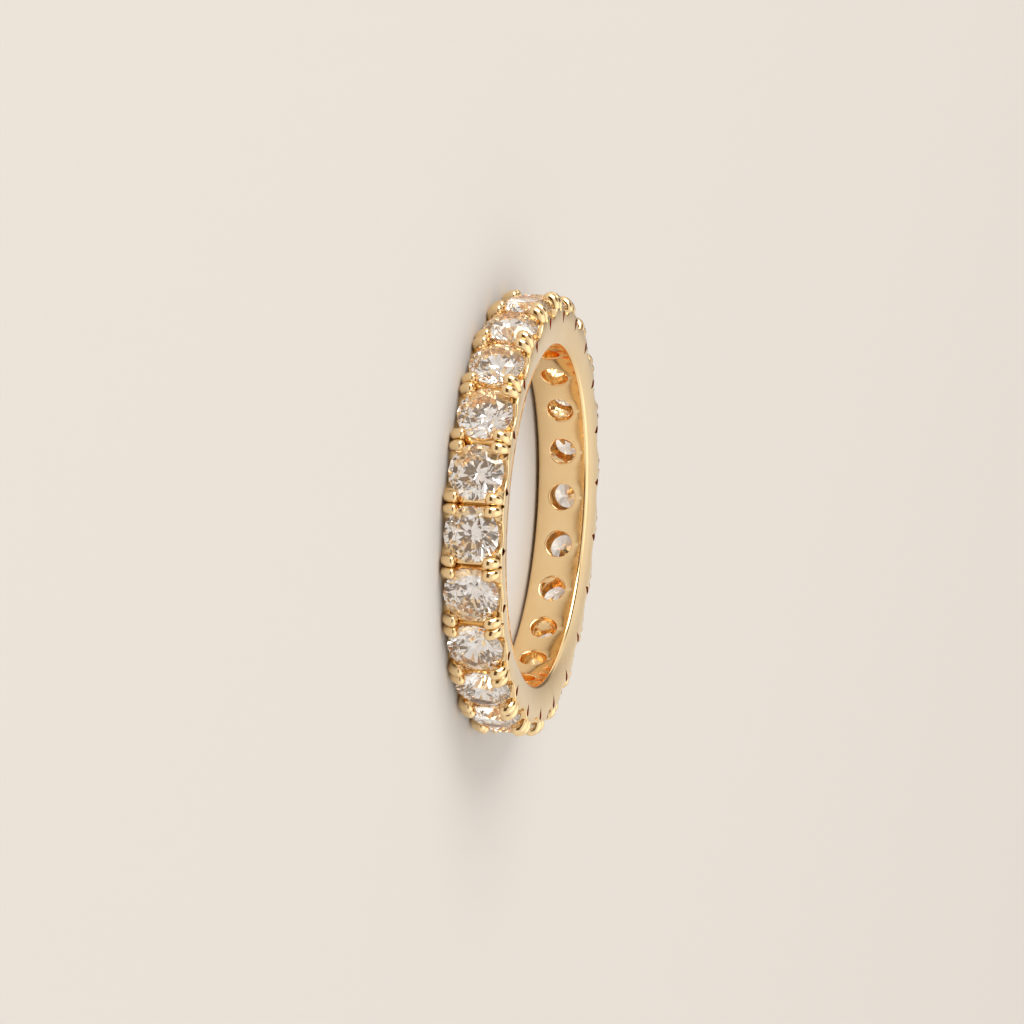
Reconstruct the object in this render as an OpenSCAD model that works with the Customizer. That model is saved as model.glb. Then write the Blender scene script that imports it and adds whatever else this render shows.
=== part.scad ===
// Eternity ring: round brilliants all the way round, each held by four claws
// in a shared gold setting. The ring lies on its side: its axis is +Z and the
// lower side face of the band rests on the plane z = 0.

/* [Ring] */
// Inside diameter of the finger hole (a US ring size 5 1/2)
inner_d = 16.1; // [14:0.1:22]
// Band left standing past the stones at each side
side_margin = 0.1; // [0.06:0.01:0.3]
// Metal depth kept between the stones' points and the finger hole
culet_gap = 0.7; // [0.35:0.05:0.9]
// Narrowing of each side of the band at the finger hole
side_taper = 0.18; // [0:0.02:0.3]
// Depth below the girdle at which the sides start to narrow
taper_drop = 0.75; // [0.7:0.05:1]
// Rounding of the band's two edges at the finger hole
edge_r = 0.18; // [0.08:0.02:0.3]

/* [Stones] */
// Girdle diameter of each round brilliant
stone_d = 2.6; // [2:0.05:3.2]
// Least space between the girdles of two neighbours
stone_gap = 0.2; // [0.15:0.01:0.4]
// Width of the table, corner to corner
table_d = 1.46; // [1.2:0.02:1.6]
// Height of the crown above the girdle
crown_h = 0.38; // [0.3:0.01:0.45]
// Thickness of the girdle
girdle_h = 0.07; // [0.04:0.01:0.12]
// Depth of the pavilion below the girdle
pavilion_h = 1.12; // [1:0.02:1.2]
// Reach of the star facets from the table's edge to the girdle, as a share
star_share = 0.52; // [0.45:0.01:0.6]
// Distance of the lower facets' inner tips from the point, as a share of the radius
lower_share = 0.24; // [0.2:0.01:0.35]

/* [Seats] */
// Space between each stone and the metal round it
seat_gap = 0.05; // [0.02:0.01:0.08]
// Drop of the lip below the girdle at the middle of each stone
lip_drop = 0.36; // [0.08:0.01:0.45]
// Radius of the scallop that dips the lip under each stone
scallop_r = 1.1; // [1:0.05:2]
// Height of the band's wall above the girdle's middle, between the stones (below it if negative)
wall_rise = -0.1; // [-0.16:0.01:0.06]
// Diameter of the light hole under each stone
light_hole_d = 1.26; // [1:0.02:1.4]

/* [Claws] */
// Diameter of a claw's stem
claw_d = 0.54; // [0.44:0.01:0.56]
// Diameter of the rounded tip of a claw
bead_d = 0.62; // [0.56:0.01:0.66]
// Reach of a claw's tip over the stone's edge
claw_grip = 0.14; // [0.1:0.01:0.2]
// Height above the girdle at which a claw starts to bend over
bend_start = -0.04; // [-0.1:0.01:0.05]
// Radius of a claw's bend, at its middle line
bend_r = 0.33; // [0.3:0.01:0.4]
// Angle that a claw bends through
bend_angle = 62; // [40:1:75]
// Set-back of a claw's stem from the side face
claw_inset = 0.01; // [0.01:0.01:0.05]
// Depth to which a claw's stem is rooted below the girdle
claw_root = 0.7; // [0.5:0.05:0.9]

/* [Side windows] */
// Width of the drop-shaped window on one side of each pair of claws
window_w = 0.3; // [0.2:0.01:0.34]
// Height of that window, from its round end's middle to its tip
window_h = 0.46; // [0.4:0.02:0.6]
// Metal left between a window and the claw beside it
window_gap = 0.03; // [0.02:0.01:0.06]
// Metal left between a window and the scalloped lip
window_lip = 0.05; // [0.03:0.01:0.1]

/* [Hidden] */
$fn = 48;
ring_fn = 180;
bore_r = inner_d / 2;
stone_r = stone_d / 2;
band_w = stone_d + 2 * side_margin;
// Distance of each girdle's middle from the ring's axis
girdle_r = bore_r + culet_gap + pavilion_h + girdle_h / 2;
wall_r = girdle_r + wall_rise;
taper_r = girdle_r - taper_drop;
// As many stones as go round with the least space between them
stone_count = floor(180 / asin((stone_d + stone_gap) / (2 * girdle_r)));
stone_step = 360 / stone_count;
// Each claw stands at this place beside its stone: along the row, and across it
bead_across = band_w / 2 - claw_inset - claw_d / 2 - bend_r * (1 - cos(bend_angle));
bead_reach = stone_r + bead_d / 2 - claw_grip;
claw_along = sqrt(pow(bead_reach, 2) - pow(bead_across, 2));
claw_across = band_w / 2 - claw_inset - claw_d / 2;
window_along = claw_along - claw_d / 2 - window_gap - window_w / 2;
// Height of each scallop's middle line above the girdle's middle
scallop_rise = scallop_r - lip_drop - girdle_h / 2;
// Depth of a window's round end below the girdle's middle
window_drop = sqrt(pow(scallop_r + window_lip + window_w / 2, 2) - pow(window_along, 2)) - scallop_rise;
// Facet counts of a round brilliant
main_count = 8;
girdle_count = 2 * main_count;
// Overrun of cutters past the metal
cut_over = 1;

function stone_name(i) = str("stone_", i < 10 ? "0" : "", i);

// Place of stone i, with its own +Z outwards and its own Y along the ring's axis.
// The X axis passes midway between the last stone and the first.
module at_stone(i) {
    translate([0, 0, band_w / 2])
        rotate([0, 0, (i - 0.5) * stone_step])
            rotate([0, 90, 0])
                rotate([0, 0, 90])
                    children();
}

// The plain band: its sides narrow towards the finger hole, where its edges are rounded
module band() {
    rotate_extrude($fn = ring_fn)
        difference() {
            polygon([
                [bore_r, side_taper],
                [taper_r, 0],
                [wall_r, 0],
                [wall_r, band_w],
                [taper_r, band_w],
                [bore_r, band_w - side_taper]
            ]);
            edge_cut();
            translate([0, band_w])
                mirror([0, 1])
                    edge_cut();
        }
}

// What the rounding takes off one inner edge of the band's section
module edge_cut() {
    lean = atan(side_taper / (taper_r - bore_r));
    middle = [bore_r + edge_r, side_taper - edge_r * tan(lean) + edge_r / cos(lean)];
    reach = edge_r + cut_over;
    difference() {
        polygon([
            [bore_r - cut_over, middle[1]],
            middle,
            [middle[0] - reach * sin(lean), middle[1] - reach * cos(lean)],
            [bore_r - cut_over, -cut_over]
        ]);
        translate(middle)
            circle(r = edge_r);
    }
}

// The scallop that dips the lip below one stone's girdle
module scallop() {
    translate([0, 0, girdle_r + scallop_rise])
        rotate([90, 0, 0])
            cylinder(r = scallop_r, h = band_w + cut_over, center = true);
}

// One claw: a round stem, a bend over the stone and a rounded tip
module claw() {
    translate([claw_along, claw_across, 0]) {
        translate([0, 0, girdle_r - claw_root])
            cylinder(d = claw_d, h = claw_root + bend_start);
        translate([0, -bend_r, girdle_r + bend_start]) {
            rotate([90, 0, 90])
                rotate_extrude(angle = bend_angle)
                    translate([bend_r, 0])
                        circle(d = claw_d);
            translate([0, bend_r * cos(bend_angle), bend_r * sin(bend_angle)])
                sphere(d = bead_d);
        }
    }
}

// The four claws of one stone
module claws() {
    for (side_x = [0, 1])
        for (side_y = [0, 1])
            mirror([side_x, 0, 0])
                mirror([0, side_y, 0])
                    claw();
}

// The space that one stone takes, with the seat's clearance all round, and its light hole
module seat() {
    crown_slope = crown_h / (stone_r - table_d / 2);
    pavilion_slope = pavilion_h / stone_r;
    crown_lift = seat_gap * sqrt(1 + pow(crown_slope, 2));
    pavilion_lift = seat_gap * sqrt(1 + pow(pavilion_slope, 2));
    seat_r = stone_r + seat_gap;
    crown_edge = girdle_h / 2 + crown_lift - crown_slope * seat_gap;
    pavilion_edge = -girdle_h / 2 - pavilion_lift + pavilion_slope * seat_gap;
    top = girdle_h / 2 + crown_h + crown_lift;
    translate([0, 0, girdle_r])
        rotate_extrude()
            polygon([
                [0, pavilion_edge - pavilion_slope * seat_r],
                [seat_r, pavilion_edge],
                [seat_r, crown_edge],
                [table_d / 2, top],
                [0, top]
            ]);
    translate([0, 0, bore_r - cut_over])
        cylinder(d = light_hole_d, h = girdle_r - bore_r + cut_over);
}

// A drop-shaped window beside one stone's claws, through both side walls, with its tip inwards
module window() {
    tangent = asin(window_w / 2 / window_h);
    translate([window_along, 0, girdle_r - window_drop])
        rotate([90, 0, 0])
            linear_extrude(height = band_w + cut_over, center = true) {
                circle(d = window_w);
                polygon([
                    [-window_w / 2 * cos(tangent), -window_w / 2 * sin(tangent)],
                    [0, -window_h],
                    [window_w / 2 * cos(tangent), -window_w / 2 * sin(tangent)]
                ]);
            }
}

// The gold setting: band, cups, claws and bridges cast as one piece
module setting() {
    color([0.86, 0.66, 0.33])
        difference() {
            union() {
                difference() {
                    band();
                    for (i = [1:stone_count])
                        at_stone(i) scallop();
                }
                for (i = [1:stone_count])
                    at_stone(i) claws();
            }
            for (i = [1:stone_count])
                at_stone(i) {
                    seat();
                    window();
                }
        }
}

// A point of the stone at radius r, angle a and height h
function polar(r, a, h) = [r * cos(a), r * sin(a), h];

// A round brilliant about its girdle's middle, with its table up
module brilliant() {
    half = 180 / main_count;
    table_r = table_d / 2;
    crown_top = girdle_h / 2 + crown_h;
    // The star tips lie in the plane of the main crown facets
    star_r = table_r * cos(half) + star_share * (stone_r - table_r * cos(half));
    star_h = crown_top - crown_h * (star_r * cos(half) - table_r) / (stone_r - table_r);
    // The lower facets' inner tips lie in the plane of the main pavilion facets
    lower_r = lower_share * stone_r;
    lower_h = -girdle_h / 2 - pavilion_h * (1 - lower_r * cos(half) / stone_r);
    table = [for (i = [0:main_count - 1]) polar(table_r, 2 * i * half, crown_top)];
    stars = [for (i = [0:main_count - 1]) polar(star_r, (2 * i + 1) * half, star_h)];
    upper = [for (j = [0:girdle_count - 1]) polar(stone_r, j * half, girdle_h / 2)];
    lower = [for (j = [0:girdle_count - 1]) polar(stone_r, j * half, -girdle_h / 2)];
    tips = [for (i = [0:main_count - 1]) polar(lower_r, (2 * i + 1) * half, lower_h)];
    point = [[0, 0, -girdle_h / 2 - pavilion_h]];
    // Index of the first point of each ring
    s0 = main_count;
    u0 = s0 + main_count;
    l0 = u0 + girdle_count;
    t0 = l0 + girdle_count;
    c0 = t0 + main_count;
    faces = concat(
        [[for (i = [0:main_count - 1]) main_count - 1 - i]],
        [for (i = [0:main_count - 1]) [i, (i + 1) % main_count, s0 + i]],
        [for (i = [0:main_count - 1])
            [i, s0 + i, u0 + 2 * i, s0 + (i + main_count - 1) % main_count]],
        [for (i = [0:main_count - 1]) [s0 + i, u0 + 2 * i + 1, u0 + 2 * i]],
        [for (i = [0:main_count - 1])
            [s0 + i, u0 + (2 * i + 2) % girdle_count, u0 + 2 * i + 1]],
        [for (j = [0:girdle_count - 1])
            [u0 + j, u0 + (j + 1) % girdle_count, l0 + (j + 1) % girdle_count, l0 + j]],
        [for (i = [0:main_count - 1]) [t0 + i, l0 + 2 * i, l0 + 2 * i + 1]],
        [for (i = [0:main_count - 1])
            [t0 + i, l0 + 2 * i + 1, l0 + (2 * i + 2) % girdle_count]],
        [for (i = [0:main_count - 1])
            [c0, t0 + (i + main_count - 1) % main_count, l0 + 2 * i, t0 + i]]
    );
    polyhedron(points = concat(table, stars, upper, lower, tips, point), faces = faces);
}

// Stone number i in its seat
module stone(i) {
    color([0.93, 0.94, 0.96])
        at_stone(i)
            translate([0, 0, girdle_r])
                brilliant();
}

setting();
for (i = [1:stone_count]) stone(i);
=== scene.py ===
import math

import bmesh
import bpy
from mathutils import Matrix, Vector


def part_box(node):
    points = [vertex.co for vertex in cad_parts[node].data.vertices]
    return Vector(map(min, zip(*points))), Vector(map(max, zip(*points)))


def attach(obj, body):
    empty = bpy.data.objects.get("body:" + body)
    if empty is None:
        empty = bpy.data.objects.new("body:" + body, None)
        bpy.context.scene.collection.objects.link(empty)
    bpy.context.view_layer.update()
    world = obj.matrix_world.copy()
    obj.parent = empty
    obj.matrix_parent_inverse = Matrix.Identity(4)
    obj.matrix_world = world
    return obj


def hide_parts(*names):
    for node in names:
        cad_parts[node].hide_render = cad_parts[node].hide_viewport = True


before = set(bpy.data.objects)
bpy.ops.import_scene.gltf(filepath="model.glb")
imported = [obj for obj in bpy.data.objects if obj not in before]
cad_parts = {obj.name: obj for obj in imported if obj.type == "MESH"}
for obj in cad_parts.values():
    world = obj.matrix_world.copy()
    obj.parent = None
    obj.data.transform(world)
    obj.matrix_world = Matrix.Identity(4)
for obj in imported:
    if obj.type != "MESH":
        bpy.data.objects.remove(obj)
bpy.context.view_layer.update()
STONES = [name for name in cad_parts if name.startswith("stone_")]

# The ring and its stones
MM = 0.001
BORE_R = 8.05 * MM
BAND_LOW, BAND_HIGH = (corner.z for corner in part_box("setting"))
BAND_W = BAND_HIGH - BAND_LOW
GIRDLE_R = 9.905 * MM
WALL_RISE = -0.10 * MM
SIDE_TAPER = 0.18 * MM
TAPER_R = GIRDLE_R - 0.75 * MM
EDGE_R = 0.18 * MM
OUTER_EDGE_R = 0.05 * MM
STONE_R = 1.3 * MM
GIRDLE_H = 0.07 * MM
TABLE_R = 0.73 * MM
CROWN_H = 0.38 * MM
PAVILION_H = 1.12 * MM

# Seats, light holes and side windows
SEAT_GAP = 0.012 * MM
SEAT_LIFT = 1.2 * SEAT_GAP
LIP_DROP = 0.36 * MM
SCALLOP_R = 1.1 * MM
LIP_ROUND = 0.06 * MM
GROOVE_DEPTH = 0.16 * MM
GROOVE_HALF_W = 0.10 * MM
LIGHT_HOLE_R = 0.63 * MM
LIGHT_HOLE_TOP = GIRDLE_R - 0.3 * PAVILION_H
HOLE_MOUTH_R = 0.06 * MM
WINDOW_R = 0.18 * MM
WINDOW_H = 0.46 * MM
WINDOW_DROP = 0.43 * MM

# Claws, and how far the windows stand from them
CLAW_R = 0.27 * MM
TIP_R = 0.295 * MM
TIP_LENGTH = 0.235 * MM
CLAW_ALONG = 1.172 * MM
CLAW_ACROSS = 1.12 * MM
CLAW_ROOT = 0.75 * MM
BEND_START = -0.04 * MM
CLAW_WAIST = 6 * BEND_START
BEND_R = 0.30 * MM
BEND_ANGLE = math.radians(88)
WINDOW_GAP = 0.03 * MM
WINDOW_ALONG = CLAW_ALONG - CLAW_R - WINDOW_GAP - WINDOW_R

# Segments of round shapes
BAND_SEGMENTS = 20 * len(STONES)
ROUND_SEGMENTS = 72
CLAW_SIDES = 22
BEND_STEPS = 9
TIP_STEPS = 7
EDGE_STEPS = 6
OUTER_EDGE_STEPS = 3
MOUTH_STEPS = 4
WINDOW_STEPS = 14

# How far the cutting shapes reach past the metal, and how the cut mesh is cleaned and shaded
OVERRUN = 1.0 * MM
MERGE_DISTANCE = 0.0005 * MM
SHARP_ANGLE = math.radians(32)

# Place of the first stone: its own X runs along the row, its Y up the axis, its Z outwards
MIDDLE = Vector((0, 0, (BAND_LOW + BAND_HIGH) / 2))
FIRST_MIDDLE = sum(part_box(STONES[0]), Vector()) / 2
FIRST_TURN = math.atan2(FIRST_MIDDLE.y, FIRST_MIDDLE.x)
OUTWARDS = Matrix(((0, 0, 1, 0), (1, 0, 0, 0), (0, 1, 0, 0), (0, 0, 0, 1)))
FIRST_STONE = Matrix.Translation(MIDDLE) @ Matrix.Rotation(FIRST_TURN, 4, "Z") @ OUTWARDS


def placed(name, data):
    """A new object in the scene."""
    made = bpy.data.objects.new(name, data)
    bpy.context.scene.collection.objects.link(made)
    return made


def mesh_object(name, points, faces, place=None):
    """A mesh object from points and faces, moved by the matrix place, with its faces turned outwards."""
    mesh = bpy.data.meshes.new(name)
    mesh.from_pydata([tuple(p) for p in points], [], faces)
    if place is not None:
        mesh.transform(place)
    work = bmesh.new()
    work.from_mesh(mesh)
    bmesh.ops.recalc_face_normals(work, faces=work.faces)
    work.to_mesh(mesh)
    work.free()
    return placed(name, mesh)


def revolved(name, outline, segments, place=None):
    """A closed outline of (radius, height) points turned about +Z. Points on the axis close to poles."""
    points, rings = [], []
    for radius, height in outline:
        if radius == 0:
            rings.append([len(points)] * segments)
            points.append((0, 0, height))
            continue
        rings.append(list(range(len(points), len(points) + segments)))
        for k in range(segments):
            turn = 2 * math.pi * k / segments
            points.append((radius * math.cos(turn), radius * math.sin(turn), height))
    closed = outline[0][0] > 0 or outline[-1][0] > 0
    pairs = list(zip(rings, rings[1:])) + ([(rings[-1], rings[0])] if closed else [])
    faces = []
    for low, high in pairs:
        for k in range(segments):
            n = (k + 1) % segments
            face = [low[k], low[n], high[n], high[k]]
            face = [p for i, p in enumerate(face) if p not in face[:i]]
            if len(face) > 2:
                faces.append(face)
    return mesh_object(name, points, faces, place)


def arc(middle_x, middle_y, radius, start, end, steps):
    """Points of an arc between two angles in degrees, both ends included."""
    turns = [math.radians(start + (end - start) * k / steps) for k in range(steps + 1)]
    return [(middle_x + radius * math.cos(t), middle_y + radius * math.sin(t)) for t in turns]


def round_the_ring():
    """The tree that repeats its input round the ring's axis, once for each stone."""
    tree = bpy.data.node_groups.new("round_the_ring", "GeometryNodeTree")
    sockets = tree.interface
    sockets.new_socket("Geometry", in_out="INPUT", socket_type="NodeSocketGeometry")
    sockets.new_socket("Copies", in_out="INPUT", socket_type="NodeSocketInt")
    sockets.new_socket("Finish", in_out="INPUT", socket_type="NodeSocketMaterial")
    sockets.new_socket("Geometry", in_out="OUTPUT", socket_type="NodeSocketGeometry")
    nodes, links = tree.nodes, tree.links
    start, end = nodes.new("NodeGroupInput"), nodes.new("NodeGroupOutput")
    points = nodes.new("GeometryNodePoints")
    links.new(start.outputs["Copies"], points.inputs["Count"])
    index = nodes.new("GeometryNodeInputIndex")
    share = nodes.new("ShaderNodeMath")
    share.operation = "DIVIDE"
    links.new(index.outputs[0], share.inputs[0])
    links.new(start.outputs["Copies"], share.inputs[1])
    turn = nodes.new("ShaderNodeMath")
    turn.operation = "MULTIPLY"
    turn.inputs[1].default_value = 2 * math.pi
    links.new(share.outputs[0], turn.inputs[0])
    angles = nodes.new("ShaderNodeCombineXYZ")
    links.new(turn.outputs[0], angles.inputs["Z"])
    copies = nodes.new("GeometryNodeInstanceOnPoints")
    links.new(points.outputs[0], copies.inputs["Points"])
    links.new(start.outputs["Geometry"], copies.inputs["Instance"])
    links.new(angles.outputs[0], copies.inputs["Rotation"])
    solid = nodes.new("GeometryNodeRealizeInstances")
    links.new(copies.outputs[0], solid.inputs[0])
    finish = nodes.new("GeometryNodeSetMaterial")
    links.new(solid.outputs[0], finish.inputs["Geometry"])
    links.new(start.outputs["Finish"], finish.inputs["Material"])
    links.new(finish.outputs[0], end.inputs[0])
    return tree


def input_of(tree, name):
    """The identifier of a tree's named input."""
    return next(
        s.identifier for s in tree.interface.items_tree
        if s.item_type == "SOCKET" and s.in_out == "INPUT" and s.name == name
    )


def applied(thing):
    """The object with its modifiers worked into a plain mesh."""
    graph = bpy.context.evaluated_depsgraph_get()
    mesh = bpy.data.meshes.new_from_object(thing.evaluated_get(graph))
    thing.modifiers.clear()
    thing.data = mesh
    return thing


def repeated(cell, tree, finish):
    """One stone's worth of a shape, repeated at every stone."""
    steps = cell.modifiers.new("round the ring", "NODES")
    steps.node_group = tree
    steps[input_of(tree, "Copies")] = len(STONES)
    steps[input_of(tree, "Finish")] = finish
    return applied(cell)


def joined(name, things):
    """Several objects' meshes in one object."""
    work = bmesh.new()
    for thing in things:
        work.from_mesh(thing.data)
    mesh = bpy.data.meshes.new(name)
    work.to_mesh(mesh)
    work.free()
    for thing in things:
        bpy.data.objects.remove(thing)
    return placed(name, mesh)


def combine(body, tool, how):
    """Cut the tool out of the body or join it on. The tool is used up."""
    step = body.modifiers.new(how, "BOOLEAN")
    step.operation = how
    step.solver = "MANIFOLD"
    step.object = tool
    applied(body)
    bpy.data.objects.remove(tool)


# The gold setting

def band():
    """The plain band: narrower and rounded towards the finger, its outer edges slightly broken."""
    shoulder = GIRDLE_R + WALL_RISE - OUTER_EDGE_R
    lean = math.atan(SIDE_TAPER / (TAPER_R - BORE_R))
    turn = math.degrees(lean)
    rise = SIDE_TAPER - EDGE_R * math.tan(lean) + EDGE_R / math.cos(lean)
    outline = (
        arc(BORE_R + EDGE_R, BAND_LOW + rise, EDGE_R, 180, 270 - turn, EDGE_STEPS)
        + [(TAPER_R, BAND_LOW)]
        + arc(shoulder, BAND_LOW + OUTER_EDGE_R, OUTER_EDGE_R, 270, 360, OUTER_EDGE_STEPS)
        + arc(shoulder, BAND_HIGH - OUTER_EDGE_R, OUTER_EDGE_R, 0, 90, OUTER_EDGE_STEPS)
        + [(TAPER_R, BAND_HIGH)]
        + arc(BORE_R + EDGE_R, BAND_HIGH - rise, EDGE_R, 90 + turn, 180, EDGE_STEPS)
    )
    return revolved("setting_cast", outline, BAND_SEGMENTS)


def scallop():
    """The round cut that dips the lip under one stone."""
    middle = GIRDLE_R - GIRDLE_H / 2 - LIP_DROP + SCALLOP_R
    half = BAND_W / 2 + OVERRUN
    flare, side = SCALLOP_R + LIP_ROUND, BAND_W / 2 - LIP_ROUND
    outline = (
        [(0, -half), (flare, -half)]
        + arc(flare, -side, LIP_ROUND, 270, 180, MOUTH_STEPS)
        + arc(flare, side, LIP_ROUND, 180, 90, MOUTH_STEPS)
        + [(flare, half), (0, half)]
    )
    lying = Matrix.Translation((0, 0, middle)) @ Matrix.Rotation(math.pi / 2, 4, "X")
    return revolved("scallop", outline, 2 * ROUND_SEGMENTS, FIRST_STONE @ lying)


def seat():
    """The space of one stone in the metal."""
    seat_r = STONE_R + SEAT_GAP
    low, high = GIRDLE_R - GIRDLE_H / 2 - SEAT_LIFT, GIRDLE_R + GIRDLE_H / 2 + SEAT_LIFT
    outline = [
        (0, low - PAVILION_H),
        (seat_r, low),
        (seat_r, high),
        (TABLE_R, high + CROWN_H),
        (0, high + CROWN_H),
    ]
    return revolved("seat", outline, ROUND_SEGMENTS, FIRST_STONE)


def light_hole():
    """The round hole under one stone, with a softened mouth at the finger."""
    flare = LIGHT_HOLE_R + HOLE_MOUTH_R
    outline = (
        [(0, BORE_R - OVERRUN), (flare, BORE_R - OVERRUN)]
        + arc(flare, BORE_R + HOLE_MOUTH_R, HOLE_MOUTH_R, 270, 180, MOUTH_STEPS)
        + [(LIGHT_HOLE_R, LIGHT_HOLE_TOP), (0, LIGHT_HOLE_TOP)]
    )
    return revolved("light_hole", outline, ROUND_SEGMENTS, FIRST_STONE)


def bar(name, shape, place):
    """A bar from side to side of the band and past it, from its end's (along, outwards) points."""
    half = BAND_W / 2 + OVERRUN
    points = [(along, across, outwards) for across in (-half, half) for along, outwards in shape]
    count = len(shape)
    faces = [list(range(count)), list(range(2 * count - 1, count - 1, -1))]
    faces += [[k, (k + 1) % count, count + (k + 1) % count, count + k] for k in range(count)]
    return mesh_object(name, points, faces, place)


def groove():
    """The groove across the bridge between one stone and the next."""
    top = GIRDLE_R + WALL_RISE
    flare = GROOVE_HALF_W * (1 + OVERRUN / GROOVE_DEPTH)
    shape = [(0, top - GROOVE_DEPTH), (flare, top + OVERRUN), (-flare, top + OVERRUN)]
    between = Matrix.Rotation(math.pi / len(STONES), 4, "Z")
    return bar("groove", shape, between @ FIRST_STONE)


def window():
    """The drop-shaped window beside one stone's claws, with its tip inwards."""
    lean = math.degrees(math.asin(WINDOW_R / WINDOW_H))
    middle = GIRDLE_R - WINDOW_DROP
    rounded = arc(WINDOW_ALONG, middle, WINDOW_R, -lean, 180 + lean, WINDOW_STEPS)
    return bar("window", rounded + [(WINDOW_ALONG, middle - WINDOW_H)], FIRST_STONE)


def claw_path():
    """Middle line of a claw as (inwards, outwards, lean, radius) rows, root first and tip last."""
    rows = [(0, height, 0, CLAW_R) for height in (-CLAW_ROOT, CLAW_WAIST, BEND_START)]
    for k in range(1, BEND_STEPS + 1):
        turn = BEND_ANGLE * k / BEND_STEPS
        inward = BEND_R * (1 - math.cos(turn))
        outward = BEND_START + BEND_R * math.sin(turn)
        rows.append((inward, outward, turn, CLAW_R + (TIP_R - CLAW_R) * k / BEND_STEPS))
    inward, outward, lean, _ = rows[-1]
    for k in range(1, TIP_STEPS + 1):
        turn = math.pi / 2 * k / TIP_STEPS
        on = TIP_LENGTH * math.sin(turn)
        rows.append((
            inward + on * math.sin(lean), outward + on * math.cos(lean), lean,
            TIP_R * math.cos(turn),
        ))
    return rows


def claw(along):
    """Points and faces of a claw on the first stone's upper side, swept along its middle line."""
    points, faces = [], []
    rows = claw_path()
    for inward, outward, lean, radius in rows[:-1]:
        for k in range(CLAW_SIDES):
            turn = 2 * math.pi * k / CLAW_SIDES
            side, flat = radius * math.cos(turn), radius * math.sin(turn)
            points.append((
                along + side,
                CLAW_ACROSS - inward + flat * math.cos(lean),
                GIRDLE_R + outward + flat * math.sin(lean),
            ))
    count = len(rows) - 1
    for row in range(count - 1):
        for k in range(CLAW_SIDES):
            n = (k + 1) % CLAW_SIDES
            here, there = row * CLAW_SIDES, (row + 1) * CLAW_SIDES
            faces.append([here + k, here + n, there + n, there + k])
    faces.append(list(range(CLAW_SIDES)))
    inward, outward, _, _ = rows[-1]
    points.append((along, CLAW_ACROSS - inward, GIRDLE_R + outward))
    last = (count - 1) * CLAW_SIDES
    faces += [[last + k, last + (k + 1) % CLAW_SIDES, len(points) - 1] for k in range(CLAW_SIDES)]
    return points, faces


def claw_pair(side):
    """Two claws of the first stone, the second turned half round about the stone's own axis."""
    half_turn = Matrix.Rotation(math.pi, 4, "Z")
    points, faces = claw(side * CLAW_ALONG)
    two = [
        mesh_object("claw", points, faces, FIRST_STONE),
        mesh_object("claw", points, faces, FIRST_STONE @ half_turn),
    ]
    return joined("claws", two)


def setting(finish):
    """The whole cast setting in one mesh."""
    tree = round_the_ring()
    body = band()
    combine(body, repeated(groove(), tree, finish), "DIFFERENCE")
    combine(body, repeated(scallop(), tree, finish), "DIFFERENCE")
    for side in (-1, 1):
        combine(body, repeated(claw_pair(side), tree, finish), "UNION")
    for cutter in (seat(), light_hole(), window()):
        combine(body, repeated(cutter, tree, finish), "DIFFERENCE")
    mesh = body.data
    mesh.materials.clear()
    mesh.materials.append(finish)
    work = bmesh.new()
    work.from_mesh(mesh)
    bmesh.ops.remove_doubles(work, verts=work.verts, dist=MERGE_DISTANCE)
    bmesh.ops.dissolve_degenerate(work, edges=work.edges, dist=MERGE_DISTANCE)
    for face in work.faces:
        face.smooth = True
        face.material_index = 0
    work.to_mesh(mesh)
    work.free()
    mesh.set_sharp_from_angle(angle=SHARP_ANGLE)
    return body


# Materials: tones, and each pattern's scale in cells per metre

GOLD_DEEP, GOLD_BRIGHT = (0.95, 0.70, 0.38, 1), (0.98, 0.75, 0.43, 1)
GOLD_TONE_SCALE = 900.0
GOLD_WEAR_SCALE, GOLD_WEAR_DETAIL = 2600.0, 6.0
GOLD_ROUGHNESS = (0.07, 0.15)
GOLD_GRAIN_SCALE, GOLD_GRAIN_DETAIL = 9000.0, 5.0
GOLD_GRAIN_DEPTH, GOLD_GRAIN_STRENGTH = 0.004 * MM, 0.06
CREVICE_WIDTH = 0.3 * MM
CREVICE_SHADE = 0.22
CREVICE_CLOSED, CREVICE_OPEN = 0.12, 0.5
STONE_TONE = (0.95, 0.95, 0.96, 1)
STONE_IOR = 2.2
GROUND_TONE, GROUND_ROUGHNESS = (0.72, 0.695, 0.68, 1), 0.9
NOISE_LOW, NOISE_HIGH = 0.3, 0.7


def principled(name):
    """A new material and its shader."""
    made = bpy.data.materials.new(name)
    made.use_nodes = True
    return made, made.node_tree.nodes["Principled BSDF"]


def noise(made, scale, detail=4.0):
    """A noise pattern on the piece itself."""
    nodes, links = made.node_tree.nodes, made.node_tree.links
    place = nodes.new("ShaderNodeTexCoord")
    pattern = nodes.new("ShaderNodeTexNoise")
    pattern.inputs["Scale"].default_value = scale
    pattern.inputs["Detail"].default_value = detail
    links.new(place.outputs["Object"], pattern.inputs["Vector"])
    return pattern


def mapped(made, value, start, end, low=0.0, high=1.0, way="LINEAR"):
    """A value that goes from low at start to high at end."""
    nodes, links = made.node_tree.nodes, made.node_tree.links
    ramp = nodes.new("ShaderNodeMapRange")
    ramp.interpolation_type = way
    ramp.inputs["From Min"].default_value = start
    ramp.inputs["From Max"].default_value = end
    ramp.inputs["To Min"].default_value = low
    ramp.inputs["To Max"].default_value = high
    links.new(value, ramp.inputs["Value"])
    return ramp.outputs[0]


def spread(made, pattern, low, high):
    """A noise pattern stretched between two values."""
    return mapped(made, pattern.outputs[0], NOISE_LOW, NOISE_HIGH, low, high)


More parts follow.
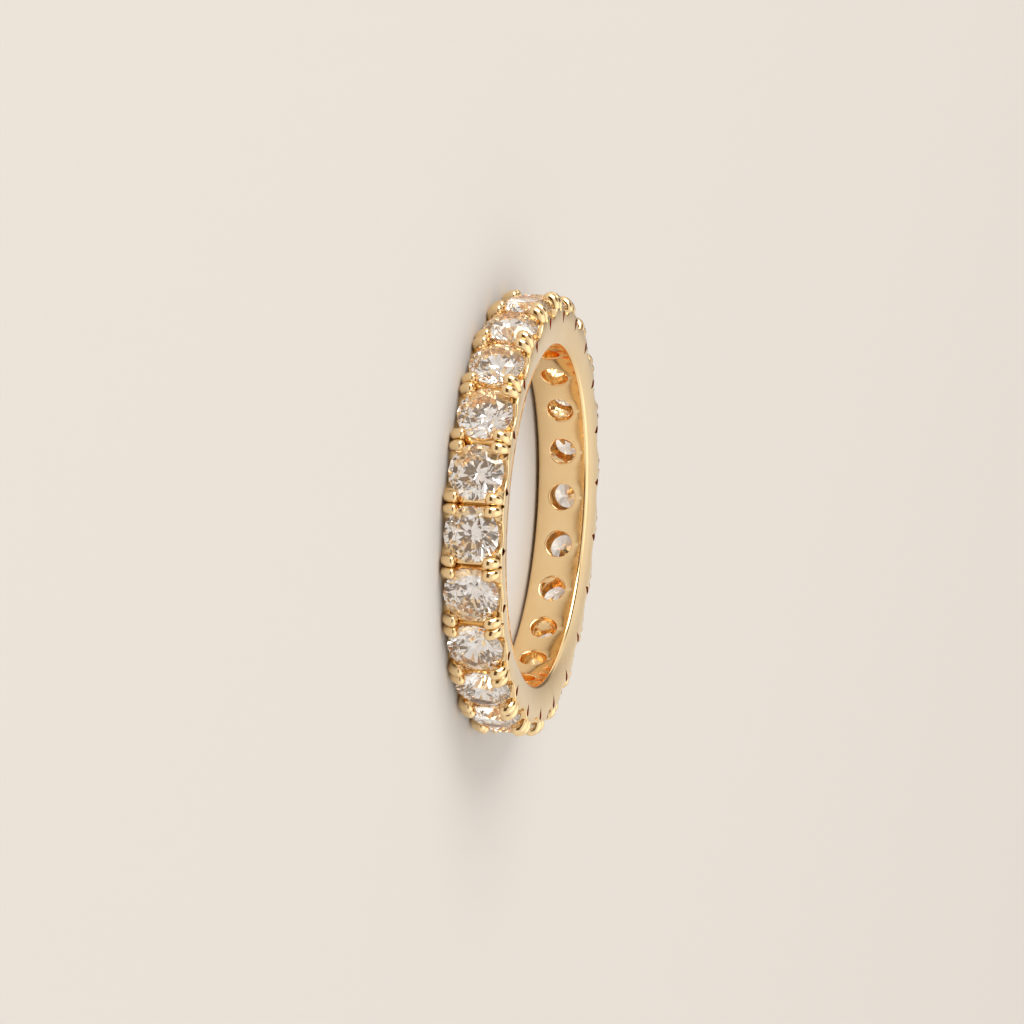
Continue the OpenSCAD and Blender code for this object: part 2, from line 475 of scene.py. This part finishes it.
def blended(made, first, second):
    """A mix of two colours, first where its factor is 0 and second where it is 1."""
    mix = made.node_tree.nodes.new("ShaderNodeMix")
    mix.data_type = "RGBA"
    mix.inputs["A"].default_value = first
    mix.inputs["B"].default_value = second
    return mix


def polished_gold():
    """Warm yellow gold, polished, with faint wear in its roughness and shade painted darker into its
    crevices.
    """
    made, shader = principled("polished_gold")
    nodes, links = made.node_tree.nodes, made.node_tree.links
    shader.inputs["Metallic"].default_value = 1.0
    tone = blended(made, GOLD_DEEP, GOLD_BRIGHT)
    links.new(spread(made, noise(made, GOLD_TONE_SCALE), 0.0, 1.0), tone.inputs["Factor"])
    # Painted shade: the base colour is darkened where the gold is closed in by its own nearby surfaces,
    # as in crevices, seats and windows
    open_air = nodes.new("ShaderNodeAmbientOcclusion")
    open_air.samples = 4
    open_air.only_local = True
    open_air.inputs["Distance"].default_value = CREVICE_WIDTH
    shade = mapped(made, open_air.outputs["AO"], CREVICE_CLOSED, CREVICE_OPEN, CREVICE_SHADE)
    # The gold's tone scaled down by the painted crevice shade
    gold_with_painted_shade = nodes.new("ShaderNodeVectorMath")
    gold_with_painted_shade.operation = "SCALE"
    links.new(tone.outputs["Result"], gold_with_painted_shade.inputs[0])
    links.new(shade, gold_with_painted_shade.inputs["Scale"])
    links.new(gold_with_painted_shade.outputs[0], shader.inputs["Base Color"])
    wear = noise(made, GOLD_WEAR_SCALE, GOLD_WEAR_DETAIL)
    links.new(spread(made, wear, *GOLD_ROUGHNESS), shader.inputs["Roughness"])
    bump = nodes.new("ShaderNodeBump")
    bump.inputs["Strength"].default_value = GOLD_GRAIN_STRENGTH
    bump.inputs["Distance"].default_value = GOLD_GRAIN_DEPTH
    grain = noise(made, GOLD_GRAIN_SCALE, GOLD_GRAIN_DETAIL)
    links.new(grain.outputs[0], bump.inputs["Height"])
    links.new(bump.outputs[0], shader.inputs["Normal"])
    return made


def brilliant_glass():
    """Clear cut stone that bends light strongly."""
    made, shader = principled("brilliant")
    shader.inputs["Base Color"].default_value = STONE_TONE
    shader.inputs["Roughness"].default_value = 0.0
    shader.inputs["IOR"].default_value = STONE_IOR
    shader.inputs["Transmission Weight"].default_value = 1.0
    return made


def pale_floor():
    """Plain cream ground."""
    made, shader = principled("pale_ground")
    shader.inputs["Base Color"].default_value = GROUND_TONE
    shader.inputs["Roughness"].default_value = GROUND_ROUGHNESS
    return made


# Studio: angles in degrees, and directions from the ring

CAMERA_AZIMUTH = -6.43
CAMERA_ELEVATION = 13.47
CAMERA_ROLL = 93.95
CAMERA_DISTANCE = 212.14 * MM
CAMERA_RIGHT = -0.533 * MM
CAMERA_UP = 0.077 * MM
CAMERA_LENS = 158.2
CAMERA_NEAR, CAMERA_FAR = 0.005, 10.0
FLOOR_HALF_W = 1.5
KEY_PLACE = (-1.0, -0.35, 0.55)
KEY_WIDTH, KEY_HEIGHT = 0.9, 0.7
KEY_POWER = 8.5
KEY_TONE = (1.0, 0.96, 0.9)
SURROUND_PALE, SURROUND_DARK = (1.0, 0.95, 0.88, 1), (0.12, 0.07, 0.035, 1)
SURROUND_STRENGTH = 0.87
GLOW_STRENGTH = 0.5
TOP_GLOW = 0.5
BEYOND_SHADE = 0.85
DARK_OVERHEAD = (-0.52, 0.15, 0.84)
BRIGHT_ZENITH = (0.3, 0.1, 0.95)
LIGHT_BOUNCES = 24


def camera():
    """The photograph's view of the ring. The roll stands the lying ring upright in the picture."""
    turn, rise = math.radians(CAMERA_AZIMUTH), math.radians(CAMERA_ELEVATION)
    back = Vector((
        math.sin(turn) * math.cos(rise), -math.cos(turn) * math.cos(rise), math.sin(rise)))
    level = (-back).to_track_quat("-Z", "Y").to_matrix()
    rolled = level @ Matrix.Rotation(math.radians(CAMERA_ROLL), 3, "Z")
    made = placed("camera", bpy.data.cameras.new("camera"))
    made.matrix_world = Matrix.Translation(
        MIDDLE + back * CAMERA_DISTANCE
        + rolled.col[0] * CAMERA_RIGHT + rolled.col[1] * CAMERA_UP
    ) @ rolled.to_4x4()
    made.data.lens = CAMERA_LENS
    made.data.clip_start = CAMERA_NEAR
    made.data.clip_end = CAMERA_FAR
    bpy.context.scene.camera = made


def floor():
    """A wide pale floor under the ring."""
    half = FLOOR_HALF_W
    corners = [(-half, -half, 0), (half, -half, 0), (half, half, 0), (-half, half, 0)]
    made = mesh_object("floor", corners, [[0, 1, 2, 3]])
    made.location.z = BAND_LOW
    made.data.materials.append(pale_floor())


def soft_light(name, place, aim, width, height, power, colour):
    """A rectangular light at a place, turned to a point."""
    data = bpy.data.lights.new(name, "AREA")
    data.shape = "RECTANGLE"
    data.size, data.size_y = width, height
    data.energy = power
    data.color = colour
    made = placed(name, data)
    made.location = place
    made.rotation_euler = (Vector(aim) - Vector(place)).to_track_quat("-Z", "Y").to_euler()


def faded(made, value, start, end, low=0.0):
    """A value that goes smoothly from low at start to 1 at end."""
    return mapped(made, value, start, end, low, 1.0, "SMOOTHSTEP")


def worked(made, how, *values):
    """One step of arithmetic on values, each a number or another step's output."""
    nodes, links = made.node_tree.nodes, made.node_tree.links
    step = nodes.new("ShaderNodeMath")
    step.operation = how
    for socket, value in zip(step.inputs, values):
        if isinstance(value, (int, float)):
            socket.default_value = value
        else:
            links.new(value, socket)
    return step.outputs[0]


def towards(made, way, direction, wide, close):
    """1 within the angle close of a direction, fading to 0 at the angle wide, in degrees."""
    nodes, links = made.node_tree.nodes, made.node_tree.links
    share = nodes.new("ShaderNodeVectorMath")
    share.operation = "DOT_PRODUCT"
    links.new(way, share.inputs[0])
    share.inputs[1].default_value = Vector(direction).normalized()
    return faded(
        made, share.outputs["Value"],
        math.cos(math.radians(wide)), math.cos(math.radians(close)))


def product(made, *values):
    """The product of several values."""
    first, *others = values
    for value in others:
        first = worked(made, "MULTIPLY", first, value)
    return first


def studio():
    """Soft light from the picture's top, and a pale surround that is dark behind the camera."""
    soft_light("key", KEY_PLACE, MIDDLE, KEY_WIDTH, KEY_HEIGHT, KEY_POWER, KEY_TONE)
    world = bpy.data.worlds.new("surround")
    world.use_nodes = True
    bpy.context.scene.world = world
    nodes, links = world.node_tree.nodes, world.node_tree.links
    way = nodes.new("ShaderNodeTexCoord").outputs["Generated"]
    parts = nodes.new("ShaderNodeSeparateXYZ")
    links.new(way, parts.inputs[0])
    along, across, up = parts.outputs
    height = worked(world, "ABSOLUTE", up)
    # Each fade runs between two places on the direction's own scale, from -1 to 1
    # Dark in a wide low band behind the camera
    behind = product(
        world,
        faded(world, across, -0.10, -0.40), faded(world, up, 0.56, 0.34),
        faded(world, along, 0.60, 0.30), faded(world, along, -0.92, -0.72))
    # Dark in a patch overhead, and low beyond the ring's top
    overhead = towards(world, way, DARK_OVERHEAD, 24, 12)
    beyond = product(
        world, BEYOND_SHADE,
        faded(world, across, 0.3, 0.7), faded(world, height, 0.55, 0.35),
        faded(world, along, 0.15, -0.10, 0.16), faded(world, along, -0.75, -0.55))
    shade = worked(world, "MAXIMUM", worked(world, "MAXIMUM", behind, overhead), beyond)
    # Brighter low down at the picture's top, and from above
    top = product(
        world, TOP_GLOW, faded(world, height, 0.45, 0.15), faded(world, along, -0.60, -0.88))
    zenith = towards(world, way, BRIGHT_ZENITH, 45, 20)
    glow = worked(world, "ADD", top, zenith)
    tone = blended(world, SURROUND_PALE, SURROUND_DARK)
    links.new(shade, tone.inputs["Factor"])
    links.new(tone.outputs["Result"], nodes["Background"].inputs["Color"])
    strength = worked(world, "MULTIPLY_ADD", glow, GLOW_STRENGTH, SURROUND_STRENGTH)
    links.new(strength, nodes["Background"].inputs["Strength"])


def picture():
    """Plain tones, and enough bounces for the light to find its way out of the stones."""
    scene = bpy.context.scene
    scene.view_settings.view_transform = "Standard"
    scene.cycles.max_bounces = LIGHT_BOUNCES
    scene.cycles.glossy_bounces = LIGHT_BOUNCES
    scene.cycles.transmission_bounces = LIGHT_BOUNCES


# The ring in its studio

gold = polished_gold()
glass = brilliant_glass()
cast = setting(gold)
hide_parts("setting")
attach(cast, "root")
for name in STONES:
    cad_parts[name].material_slots[0].material = glass
camera()
floor()
studio()
picture()
